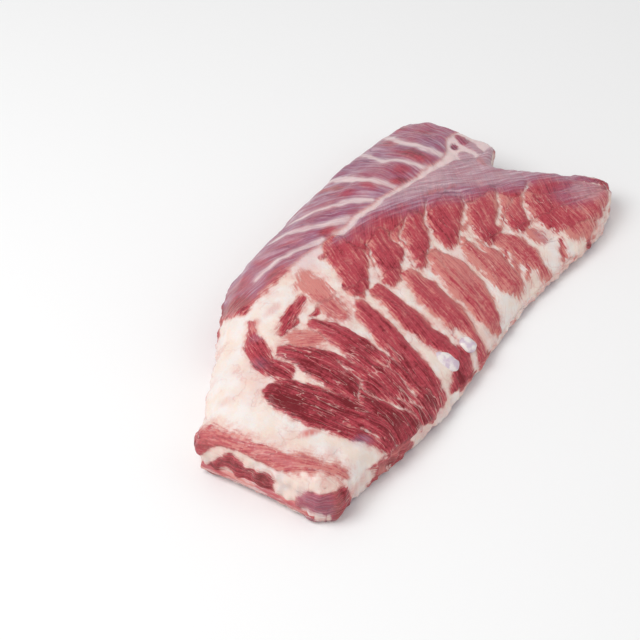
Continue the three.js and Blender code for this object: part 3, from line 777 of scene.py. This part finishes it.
def flesh_material(colours):
    """Raw pork, cut and trimmed: muscle whose fibres show as fine streaks, waxy fat that frays into it, and
    silverskin, a thin wet sheet that turns the muscle under it mauve."""
    material, make, here = new_material("raw_pork_flesh")
    colour = {name: linear(getattr(colours, name)) for name in COLOURS}
    ways = {name: make(ATTRIBUTE, {"attribute_name": name}).outputs["Vector"] for name in ("grain", "drape")}
    depth, shade, silver, stain, pale, marble, fray = (
        make(ATTRIBUTE, {"attribute_name": name}).outputs["Fac"]
        for name in ("depth", "shade", "silver", "stain", "pale", "marble", "fray"))

    streaks = {}
    for name, (way, scale, detail, roughness, distortion) in STREAKS.items():
        stretched = make(MAPPING, {}, ways[way], Scale=(*scale, 1))
        streaks[name] = make(NOISE, {}, Vector=stretched, Scale=1, Detail=detail, Roughness=roughness,
                             Distortion=distortion)
    fibres, frays, skin = streaks["fibres"], streaks["frays"], streaks["skin"]
    # clouds 30 mm and 18 mm across, shreds 6 mm across and grit 2.4 mm across
    clouds = make(NOISE, {}, Vector=here, Scale=33, Detail=3, Roughness=0.5)
    mottle = make(NOISE, {}, Vector=here, Scale=55, Detail=4, Roughness=0.6)
    shreds = make(NOISE, {}, Vector=here, Scale=160, Detail=4, Roughness=0.6)
    fine = make(NOISE, {}, Vector=here, Scale=420, Detail=3, Roughness=0.6)

    edge = make(MATH, TIMES_PLUS, make(MATH, MINUS, frays, 0.5), make(MATH, TIMES_PLUS, fray, 9, 5), depth)
    for noise, amount in ((fibres, 2.4), (shreds, 5)):
        edge = make(MATH, TIMES_PLUS, noise, amount, make(MATH, MINUS, edge, amount / 2))
    in_muscle = make(RANGE, SOFT, edge, -1.5, 1.1, 0, 1)

    # muscle: pale where fat runs through it and by its rims, dark in the shoulder's blades
    tone = shade
    for noise, amount in ((fibres, 1.4), (streaks["bundles"], 1.1), (mottle, 0.8), (fine, 0.8)):
        tone = make(MATH, TIMES_PLUS, noise, amount, make(MATH, MINUS, tone, amount / 2))
    rim = make(RANGE, SOFT, edge, 0.5, 6, 0.55, 0)
    tone = make(MATH, MINUS, tone, make(MATH, TIMES, rim, make(RANGE, SOFT, frays, 0.4, 0.6, 0, 1)))
    red = make(RANGE, SOFT, tone, 0.05, 0.6, 0, 1)
    muscle = make(MIX, TINT, red, colour["pale_muscle"], colour["muscle"])
    muscle = make(MIX, TINT, make(RANGE, SOFT, tone, 0.6, 1.15, 0, 1), muscle, colour["dark_muscle"])

    # white threads along the fibres, broken by clouds, and flecks of fat
    threads = make(MATH, SIZE_OF, make(MATH, MINUS, streaks["threads"], 0.5))
    breaks = make(NOISE, {}, Vector=here, Scale=60, Detail=3)
    width = make(RANGE, SOFT, make(MATH, TIMES, breaks, marble), 0.24, 0.42, 0.0005, 0.011)
    threads = make(RANGE, {}, make(MATH, {"operation": "DIVIDE"}, threads, width), 0.3, 1.2, 0.65, 0)
    flecks = make(RANGE, SOFT, make(MATH, TIMES_PLUS, marble, 0.08, streaks["flecks"]), 0.64, 0.76, 0, 0.55)
    muscle = make(MIX, TINT, make(MATH, LARGER, threads, flecks), muscle, colour["stained_fat"])

    # fat: cream, whiter in lumps, pink in clouds, along the muscles, in dashes and in folds
    fat = make(MIX, TINT, make(RANGE, SOFT, mottle, 0.35, 0.65, 0, 1), colour["fat"], colour["white_fat"])
    fat = make(MIX, TINT, make(RANGE, SOFT, clouds, 0.5, 0.72, 0, 0.45), fat, colour["stained_fat"])
    blush = make(RANGE, SOFT, edge, -5, -0.4, 0, 0.85)
    blush = make(MATH, TIMES, blush, make(RANGE, SOFT, shreds, 0.35, 0.6, 0.35, 1))
    fat = make(MIX, TINT, blush, fat, colour["stained_fat"])
    dashes = make(MATH, TIMES, make(RANGE, SOFT, fibres, 0.6, 0.72, 0, 0.7), fray)
    fat = make(MIX, TINT, dashes, fat, colour["pale_muscle"])
    folds = make(RANGE, SOFT, make(MATH, SIZE_OF, make(MATH, MINUS, breaks, 0.5)), 0.03, 0, 0, 1)
    folds = make(MATH, TIMES, folds, make(RANGE, SOFT, clouds, 0.45, 0.6, 0, 1))
    fat = make(MIX, TINT, make(MATH, TIMES, folds, 0.22), fat, colour["pale_muscle"])
    flesh = make(MIX, TINT, in_muscle, fat, muscle)
    salmon = make(MATH, TIMES, stain, make(RANGE, SOFT, make(MATH, PLUS, frays, mottle), 0.7, 1.2, 0.35, 1))
    flesh = make(MIX, TINT, salmon, flesh, colour["salmon"])

    # silverskin: greyish mauve with white threads along its drape, thin at its muscle's rims, and with dark
    # lines of painted shade in its creases
    veil = make(RANGE, SOFT, skin, 0.42, 0.74, 0, 1)
    veil = make(MIX, TINT, veil, colour["silverskin"], colour["silver_thread"])
    cover = make(MATH, TIMES, silver, make(RANGE, SOFT, skin, 0.3, 0.62, 0.6, 1))
    cover = make(MATH, TIMES, cover, make(RANGE, SOFT, mottle, 0.25, 0.6, 0.75, 1))
    cover = make(MATH, TIMES, cover, make(RANGE, SOFT, edge, -3.5, 1.5, 0.25, 1))
    flesh = make(MIX, TINT, cover, flesh, veil)
    # painted shade: dark lines in the silverskin's creases, which the relief does not fold
    painted_crease_lines = make(MATH, SIZE_OF, make(MATH, MINUS, streaks["painted_crease_lines"], 0.5))
    painted_crease_lines = make(RANGE, SOFT, painted_crease_lines, 0.024, 0.004, 0, 1)
    painted_crease_lines = make(MATH, TIMES, painted_crease_lines, make(RANGE, SOFT, clouds, 0.42, 0.56, 0, 0.75))
    flesh = make(MIX, TINT, make(MATH, TIMES, painted_crease_lines, silver), flesh, colour["crease"])
    # pale lines of fat under the silverskin, and wisps of painted sheen on it
    lines = make(MATH, TIMES, pale, make(RANGE, SOFT, skin, 0.25, 0.6, 0.5, 0.95))
    flesh = make(MIX, TINT, lines, flesh, colour["pale_line"])

    # sheen, and relief: fibres only in muscle, grit and shreds everywhere, muscle a little under the fat
    wet = make(RANGE, SOFT, mottle, 0.3, 0.7, 0.3, 0.46)
    height = make(MATH, TIMES_PLUS, streaks["bundles"], 0.6, make(MATH, TIMES, fibres, 0.7))
    height = make(MATH, TIMES, height, in_muscle)
    height = make(MATH, TIMES_PLUS, fine, 0.3, make(MATH, TIMES_PLUS, shreds, 0.35, height))
    height = make(MATH, TIMES_PLUS, in_muscle, -0.6, make(MATH, TIMES_PLUS, breaks, 0.8, height))
    height = make(MATH, TIMES_PLUS, folds, -0.2, height)
    finish_surface(make, flesh, wet, height, 1.3 * MM, IOR=1.4, Specular_IOR_Level=0.3, Coat_Weight=0.2,
                   Coat_Roughness=0.1, Subsurface_Weight=0.12, Subsurface_Radius=(1.0, 0.35, 0.22),
                   Subsurface_Scale=2.5 * MM)
    return material


def membrane_material(colours):
    """The smooth skin of the chest's inside, drawn tight over the ribs: greyish pink and glossy, paler on
    each bone, with the dark lines and dashes of the flesh between the ribs showing through."""
    material, make, here = new_material("chest_membrane")
    rib = make(ATTRIBUTE, {"attribute_name": "rib"}).outputs["Fac"]
    streaks = make(MAPPING, {}, here, Scale=(190, 60, 60))
    streaks = make(NOISE, {}, Vector=streaks, Scale=1, Detail=4, Roughness=0.6)
    mottle = make(NOISE, {}, Vector=here, Scale=45, Detail=4, Roughness=0.6)
    fine = make(NOISE, {}, Vector=here, Scale=300, Detail=3, Roughness=0.6)
    # how far each place lies from a rib's middle, in shares of the distance between two ribs
    away = make(MATH, PART_OF, make(MATH, PLUS, rib, 0.5))
    away = make(MATH, SIZE_OF, make(MATH, MINUS, away, 0.5))
    away = make(MATH, TIMES_PLUS, mottle, 0.08, make(MATH, MINUS, away, 0.04))
    on_bone = make(RANGE, SOFT, away, 0.22, 0.14, 0, 0.8)
    groove = make(MATH, SIZE_OF, make(MATH, MINUS, away, 0.23))
    groove = make(RANGE, SOFT, groove, 0.035, 0, 0, 0.6)
    groove = make(MATH, TIMES, groove, make(RANGE, SOFT, fine, 0.35, 0.6, 0, 1))
    tint = make(MIX, TINT, make(RANGE, SOFT, mottle, 0.35, 0.65, 0, 1), linear(colours.membrane),
                linear(colours.silverskin))
    tint = make(MIX, TINT, make(RANGE, SOFT, streaks, 0.56, 0.7, 0, 0.55), tint, linear(colours.muscle))
    tint = make(MIX, TINT, on_bone, tint, linear(colours.covered_bone))
    tint = make(MIX, TINT, groove, tint, linear(colours.muscle))
    gloss = make(RANGE, SOFT, fine, 0.3, 0.7, 0.25, 0.4)
    finish_surface(make, tint, gloss, streaks, 0.5 * MM, IOR=1.4, Coat_Weight=0.5, Coat_Roughness=0.15,
                   Subsurface_Weight=0.1, Subsurface_Radius=(1.0, 0.5, 0.4), Subsurface_Scale=2 * MM)
    return material


def bone_material(colours):
    """Sawn rib: white hard bone round a pinkish spongy core, a little wet."""
    material, make, here = new_material("sawn_rib_bone")
    pores = make(NOISE, {}, Vector=here, Scale=700, Detail=3, Roughness=0.6)
    mottle = make(NOISE, {}, Vector=here, Scale=120, Detail=3, Roughness=0.6)
    tint = make(RANGE, SOFT, mottle, 0.4, 0.7, 0, 1)
    tint = make(MIX, TINT, tint, linear(colours.bone), linear(colours.covered_bone))
    tint = make(MIX, TINT, make(RANGE, SOFT, pores, 0.55, 0.7, 0, 0.35), tint, linear(colours.stained_fat))
    finish_surface(make, tint, 0.4, pores, 0.3 * MM, IOR=1.5, Coat_Weight=0.2, Coat_Roughness=0.25,
                   Subsurface_Weight=0.1, Subsurface_Radius=(1.0, 0.7, 0.6), Subsurface_Scale=1.5 * MM)
    return material


def scraped_bone_material(colours):
    """A rib's side with shreds of flesh left on it: greyish pink bone, streaked with red along its length."""
    material, make, here = new_material("scraped_rib_bone")
    streaks = make(MAPPING, {}, here, Scale=(420, 45, 420))
    streaks = make(NOISE, {}, Vector=streaks, Scale=1, Detail=4, Roughness=0.65)
    shreds = make(MAPPING, {}, here, Scale=(160, 40, 240))
    shreds = make(NOISE, {}, Vector=shreds, Scale=1, Detail=3, Roughness=0.6)
    tint = make(MIX, TINT, make(RANGE, SOFT, streaks, 0.4, 0.6, 0, 1), linear(colours.pale_muscle),
                linear(colours.covered_bone))
    tint = make(MIX, TINT, make(RANGE, SOFT, shreds, 0.44, 0.6, 0, 0.8), tint, linear(colours.muscle))
    tint = make(MIX, TINT, make(RANGE, SOFT, streaks, 0.58, 0.7, 0, 0.8), tint, linear(colours.dark_muscle))
    finish_surface(make, tint, 0.45, streaks, 0.8 * MM, IOR=1.45, Coat_Weight=0.2, Coat_Roughness=0.25,
                   Subsurface_Weight=0.1, Subsurface_Radius=(1.0, 0.5, 0.4), Subsurface_Scale=1.5 * MM)
    return material


def cartilage_material(colours):
    """Cartilage: bluish white, smooth and translucent."""
    material, make, here = new_material("rib_cartilage")
    cloud = make(NOISE, {}, Vector=here, Scale=150, Detail=2, Roughness=0.5)
    tint = make(RANGE, SOFT, cloud, 0.4, 0.62, 0, 1)
    tint = make(MIX, TINT, tint, linear(colours.cartilage), linear(colours.white_fat))
    finish_surface(make, tint, 0.3, cloud, 0.4 * MM, IOR=1.45, Coat_Weight=0.3, Coat_Roughness=0.15,
                   Subsurface_Weight=0.25, Subsurface_Radius=(1.0, 0.8, 0.9), Subsurface_Scale=2 * MM)
    return material


def show(name, mesh, materials, nodes):
    """Puts a piece in the scene in place of its nodes."""
    piece = bpy.data.objects.new(name, mesh)
    bpy.context.scene.collection.objects.link(piece)
    for material in materials:
        mesh.materials.append(material)
    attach(piece, BODY)
    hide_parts(*nodes)
    return piece


class SPARERIBS_PG_sizes(bpy.types.PropertyGroup):
    """Sizes of the rack's surface"""
    muscle_relief: bpy.props.FloatProperty(
        name="Muscle relief", description="Share of its own height that a muscle stands up", default=1.0,
        min=0, max=1.5)
    lump: bpy.props.FloatProperty(
        name="Lumps", description="Height of the fat's lumps", default=0.7 * MM, unit="LENGTH", precision=4)
    fibre: bpy.props.FloatProperty(
        name="Fibres", description="Height of the bundles of fibres", default=0.3 * MM, unit="LENGTH",
        precision=4)
    rib_unevenness: bpy.props.FloatProperty(
        name="Rib unevenness", description="Height of a bone's lumps", default=RIB_UNEVENNESS * MM,
        unit="LENGTH", precision=4)
    steps_long: bpy.props.IntProperty(
        name="Steps along", description="Mesh steps along the rack, an even number", default=372)
    steps_wide: bpy.props.IntProperty(
        name="Steps across", description="Mesh steps across the rack, an even number", default=176)
    steps_high: bpy.props.IntProperty(name="Steps up", description="Mesh steps up the cut faces", default=16)


# Colours: label, what it is for and the colour as sRGB hex.
COLOURS = {
    "muscle": ("Muscle", "Red muscle", "#B84350"),
    "dark_muscle": ("Dark muscle", "The shoulder's blades", "#78121F"),
    "pale_muscle": ("Pale muscle", "Thin or fatty muscle", "#D58880"),
    "salmon": ("Salmon", "Muscle under thin fat", "#D88983"),
    "fat": ("Fat", "Cream fat", "#F1DDD0"),
    "white_fat": ("White fat", "Firm white fat", "#F0E7E3"),
    "stained_fat": ("Stained fat", "Fat beside muscle", "#E6B9B0"),
    "silverskin": ("Silverskin", "Silverskin over muscle", "#946180"),
    # painted shade: the dark of the silverskin's creases
    "crease": ("Creases", "Creases in silverskin", "#74405A"),
    "silver_thread": ("Silver threads", "White threads in silverskin", "#CFB0BE"),
    # also painted sheen: pale wisps on the silverskin
    "pale_line": ("Pale lines", "Fat under silverskin", "#E8CFCF"),
    "membrane": ("Membrane", "Skin on the bone side", "#C9A1A2"),
    "covered_bone": ("Covered bone", "Bone under skin", "#DDBFBD"),
    "bone": ("Bone", "Sawn bone", "#EDE8EA"),
    "cartilage": ("Cartilage", "Cartilage", "#D3BFCE"),
}


class SPARERIBS_PG_colours(bpy.types.PropertyGroup):
    """Colours of the rack, as sRGB hex"""
    __annotations__ = {
        name: bpy.props.StringProperty(name=label, description=about, default=value)
        for name, (label, about, value) in COLOURS.items()}


class SPARERIBS_OT_flesh(bpy.types.Operator):
    """Build the flesh with its muscles, fat and membrane"""
    bl_idname = "spareribs.flesh"
    bl_label = "Flesh"

    def execute(self, context):
        sizes, colours = context.scene.spareribs_sizes, context.scene.spareribs_colours
        lattice, faces = block(sizes.steps_long, sizes.steps_wide, sizes.steps_high)
        points = place(*(spaced(t) for t in lattice))
        smooth = mesh_of("smooth_flesh", points, faces, {})
        normals = np.empty(len(points) * 3, np.float32)
        smooth.vertex_normals.foreach_get("vector", normals)
        normals = normals.reshape(-1, 3)
        bpy.data.meshes.remove(smooth)

        up = step(0.15, 0.55, normals[:, 2])
        down = step(0.2, 0.6, -normals[:, 2])
        top, wall = top_pattern(points), wall_pattern(points, normals)
        fields = {name: mix(wall[name], top[name], up) for name in wall}
        fields["rib"] = rib_at(points[:, 0], points[:, 1])
        level = np.stack([points[:, 0] + points[:, 1], points[:, 2] * 1.5, 0 * up], axis=-1)
        for name in ("grain", "drape"):
            fields[name] = np.where((up > 0.5)[:, None], top[name], level)

        relief = flesh_relief(points, fields, top["high"], up, down, sizes)
        shaped = points + normals * relief[:, None]
        shaped[:, 2] = np.maximum(shaped[:, 2], 0)
        mesh = mesh_of("flesh", shaped, faces, fields)
        show("flesh", mesh, [flesh_material(colours), membrane_material(colours)], ["meat"])
        face_down = [min(down[corner] for corner in face) > 0.1 for face in faces]
        mesh.polygons.foreach_set("material_index", np.array(face_down, np.int32))
        return {"FINISHED"}


def flesh_relief(points, fields, high, up, down, sizes):
    """How far each point stands out, in mm: domed muscles ridged along their fibres, lumpy fat, torn rims,
    and none where the bones come out of the sawn edge or where the rack rests."""
    inward = np.clip(fields["depth"] / MUSCLE_SHOULDER, 0, 1)
    dome = mix(WALL_BULGE, high, up) * np.sqrt(1 - (1 - inward) ** 2) * sizes.muscle_relief
    ridges = ripples(fields["grain"] * (0.12, 1, 1), 3.2, 24) * inward * up * sizes.fibre / MM
    lumps = (ripples(points, 17, 21) + 0.5 * ripples(points, 7, 22)) * (1 - down) * sizes.lump / MM
    torn = 1.0 * ripples(points, 4, 23) * (1 - up) * (1 - down)
    relief = np.minimum(dome * (1 - down) - FAT_SUNK * up + ridges + lumps + torn, RELIEF_LIMIT)
    for corner in CORNERS:
        away = np.linalg.norm(points - corner.place, axis=1) / corner.reach
        relief += corner.bulge * np.exp(-(away ** 2)) * (1 - down)
    x, y, z = points.T
    by_bones = (z < BONES_UP_TO) & (y > curve(BACK_EDGE, x) - SAWN_MARGIN)
    return np.where((z < RESTS_UP_TO) | by_bones, np.minimum(relief, -BONE_SHOWS * by_bones), relief)


def rib_spine(rib, points=9):
    """The centre line of a rib's bone from the sawn edge, in the rack's measure."""
    middle = float(rib_line(rib, LEAN_FROM))
    short = FIRST_RIB_SHORT if rib == 0 else 0
    belly = curve(BELLY_EDGE, middle) + (short or RIB_STOP)
    back = curve(BACK_EDGE, rib_line(rib, curve(BACK_EDGE, middle))) + (-short or RIB_PROUD)
    y = np.linspace(back, belly, points)
    x = rib_line(rib, y)
    return np.stack([x, y, vault(x, y) + RIB_COVER + RIB_THICKNESS / 2], axis=-1)


def rib_tree(material):
    """Sweeps a rib's oval section along its centre line and roughens it."""
    tree = bpy.data.node_groups.new("rib_bones", "GeometryNodeTree")
    make = functools.partial(add, tree)
    tree.interface.new_socket("Geometry", in_out="INPUT", socket_type="NodeSocketGeometry")
    for name, size in (("Width", RIB_WIDTH), ("Thickness", RIB_THICKNESS), ("Unevenness", RIB_UNEVENNESS)):
        socket = tree.interface.new_socket(name, in_out="INPUT", socket_type="NodeSocketFloat")
        socket.default_value = size * MM
    tree.interface.new_socket("Seed", in_out="INPUT", socket_type="NodeSocketInt").default_value = 5
    tree.interface.new_socket("Geometry", in_out="OUTPUT", socket_type="NodeSocketGeometry")
    given = make("NodeGroupInput", {}).outputs
    lines = make("GeometryNodeMeshToCurve", {}, Mesh=given["Geometry"])
    lines = make("GeometryNodeResampleCurve", {}, Curve=lines, Count=RIB_RINGS)
    lines = make("GeometryNodeSetCurveNormal", {"mode": "Z_UP"}, Curve=lines)
    size = make("ShaderNodeCombineXYZ", {}, X=make(MATH, TIMES, given["Width"], 0.5),
                Y=make(MATH, TIMES, given["Thickness"], 0.5), Z=1)
    section = make("GeometryNodeCurvePrimitiveCircle", {}, Resolution=RIB_SIDES, Radius=1)
    section = make("GeometryNodeTransform", {}, Geometry=section, Scale=size)
    bars = make("GeometryNodeCurveToMesh", {}, Curve=lines, Profile_Curve=section, Fill_Caps=True)
    place_of = make("GeometryNodeInputPosition", {})
    lumps = make(NOISE, {"noise_dimensions": "4D"}, Vector=place_of, W=given["Seed"], Scale=90)
    amount = make(MATH, TIMES, make(MATH, MINUS, lumps, 0.5), given["Unevenness"])
    outward = make("GeometryNodeInputNormal", {})
    offset = make("ShaderNodeVectorMath", {"operation": "SCALE"}, outward, Scale=amount)
    bars = make("GeometryNodeSetPosition", {}, Geometry=bars, Offset=offset)
    whole = make("GeometryNodeRealizeInstances", {}, Geometry=bars)
    whole = make("GeometryNodeSetMaterial", {}, Geometry=whole, Material=material)
    make("NodeGroupOutput", {}, Geometry=whole)
    return tree


def rib_piece(context, name, ribs, material):
    """One mesh of several rib bones, made by the node tree."""
    spines = [to_frame(rib_spine(rib)) for rib in ribs]
    count = len(spines[0])
    guide = bpy.data.meshes.new(f"{name}_lines")
    edges = [(rib * count + i, rib * count + i + 1) for rib in range(len(ribs)) for i in range(count - 1)]
    guide.from_pydata(np.concatenate(spines).tolist(), edges, [])
    holder = bpy.data.objects.new(f"{name}_lines", guide)
    context.scene.collection.objects.link(holder)
    modifier = holder.modifiers.new("Ribs", "NODES")
    modifier.node_group = rib_tree(material)
    for item in modifier.node_group.interface.items_tree:
        if item.in_out == "INPUT" and item.name == "Unevenness":
            modifier[item.identifier] = context.scene.spareribs_sizes.rib_unevenness
    bpy.context.view_layer.update()
    made = bpy.data.meshes.new_from_object(holder.evaluated_get(context.evaluated_depsgraph_get()))
    made.name = name
    holder.modifiers.clear()
    bpy.data.objects.remove(holder)
    made.materials.clear()
    made.shade_smooth()
    show(name, made, [material], [f"rib_{rib + 1:02d}" for rib in ribs])


class SPARERIBS_OT_ribs(bpy.types.Operator):
    """Build the rib bones that end at the sawn edge, and the bare one along the shoulder end"""
    bl_idname = "spareribs.ribs"
    bl_label = "Rib bones"

    def execute(self, context):
        colours = context.scene.spareribs_colours
        rib_piece(context, "first_rib", range(1), scraped_bone_material(colours))
        rib_piece(context, "rib_bones", range(1, RIB_COUNT), bone_material(colours))
        return {"FINISHED"}


class SPARERIBS_OT_cartilage(bpy.types.Operator):
    """Build the knuckles of cartilage by the belly edge"""
    bl_idname = "spareribs.cartilage"
    bl_label = "Cartilage"

    def execute(self, context):
        material = cartilage_material(context.scene.spareribs_colours)
        for name, (_, size) in KNUCKLES.items():
            low, high = (np.array(corner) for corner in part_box(name))
            bpy.ops.mesh.primitive_ico_sphere_add(subdivisions=5, radius=1)
            ball = context.active_object
            points = np.array([vertex.co for vertex in ball.data.vertices])
            lumps = 1 + 0.05 * ripples(points, 0.6, 31)
            x, y, z = (points * lumps[:, None] * size * MM / 2).T
            cos, sin = math.cos(KNUCKLE_TILT), math.sin(KNUCKLE_TILT)
            points = (low + high) / 2 + np.stack([x, y * cos - z * sin, y * sin + z * cos], axis=-1)
            faces = [tuple(face.vertices) for face in ball.data.polygons]
            bpy.data.objects.remove(ball)
            mesh = bpy.data.meshes.new(name)
            mesh.from_pydata(points.tolist(), [], faces)
            mesh.shade_smooth()
            show(f"{name}_knuckle", mesh, [material], [name])
        return {"FINISHED"}


# Lights: name, place in metres, power in watts and size in metres.
LIGHTS = (("key", (-0.9, 0.5, 1.5), 17, 1.1), ("fill", (0.6, -1.3, 1.2), 3, 1.5))
WORLD_STRENGTH = 0.56
# The camera: angles in degrees, distance in metres, what it looks at in the rack's measure, lens and shift.
AZIMUTH, ELEVATION, DISTANCE = -55.37, 41, 1.7
LOOKS_AT = (207.0, 105.0, 25.0)
LENS = 116.9
SHIFT = (-0.0767, -0.0353)


class SPARERIBS_OT_stage(bpy.types.Operator):
    """Set the pale floor, the soft light and the camera"""
    bl_idname = "spareribs.stage"
    bl_label = "Stage"

    def execute(self, context):
        scene = context.scene
        material, make, _ = new_material("studio_paper")
        finish_surface(make, linear("#FAFAFA"), 0.8, 0.0, MM)
        bpy.ops.mesh.primitive_plane_add(size=8)
        floor = context.active_object
        floor.name = "floor"
        floor.data.materials.append(material)
        world = bpy.data.worlds.new("studio")
        world.use_nodes = True
        world.node_tree.nodes["Background"].inputs["Color"].default_value = (1, 1, 1, 1)
        world.node_tree.nodes["Background"].inputs["Strength"].default_value = WORLD_STRENGTH
        scene.world = world
        for name, spot, power, size in LIGHTS:
            light = bpy.data.lights.new(name, "AREA")
            light.energy = power
            light.size = size
            lamp = bpy.data.objects.new(name, light)
            lamp.location = spot
            lamp.rotation_euler = (-Vector(spot)).to_track_quat("-Z", "Y").to_euler()
            scene.collection.objects.link(lamp)
        scene.view_settings.view_transform = "Standard"
        scene.collection.objects.link(photo_camera(scene))
        return {"FINISHED"}


def photo_camera(scene):
    """A long lens from the belly side, looking down at the shoulder end."""
    azimuth, elevation = math.radians(AZIMUTH), math.radians(ELEVATION)
    target = Vector(to_frame(np.array([LOOKS_AT]))[0])
    level = math.cos(elevation)
    back = Vector((math.sin(azimuth) * level, -math.cos(azimuth) * level, math.sin(elevation)))
    data = bpy.data.cameras.new("camera")
    data.lens = LENS
    data.sensor_width = 36
    data.shift_x, data.shift_y = SHIFT
    camera = bpy.data.objects.new("camera", data)
    camera.location = target + back * DISTANCE
    camera.rotation_euler = (-back).to_track_quat("-Z", "Y").to_euler()
    scene.camera = camera
    return camera


class SPARERIBS_PT_panel(bpy.types.Panel):
    """The pieces of the rack"""
    bl_idname = "SPARERIBS_PT_panel"
    bl_label = "Spare Ribs"
    bl_space_type = "VIEW_3D"
    bl_region_type = "UI"
    bl_category = "Spare Ribs"

    def draw(self, context):
        for operator in OPERATORS:
            self.layout.operator(operator.bl_idname)


OPERATORS = (SPARERIBS_OT_flesh, SPARERIBS_OT_ribs, SPARERIBS_OT_cartilage, SPARERIBS_OT_stage)
CLASSES = (SPARERIBS_PG_sizes, SPARERIBS_PG_colours, *OPERATORS, SPARERIBS_PT_panel)


def register():
    for item in CLASSES:
        bpy.utils.register_class(item)
    bpy.types.Scene.spareribs_sizes = bpy.props.PointerProperty(type=SPARERIBS_PG_sizes)
    bpy.types.Scene.spareribs_colours = bpy.props.PointerProperty(type=SPARERIBS_PG_colours)


def unregister():
    del bpy.types.Scene.spareribs_colours
    del bpy.types.Scene.spareribs_sizes
    for item in reversed(CLASSES):
        bpy.utils.unregister_class(item)


def main():
    register()
    bpy.ops.spareribs.flesh()
    bpy.ops.spareribs.ribs()
    bpy.ops.spareribs.cartilage()
    bpy.ops.spareribs.stage()


if __name__ == "__main__":
    main()
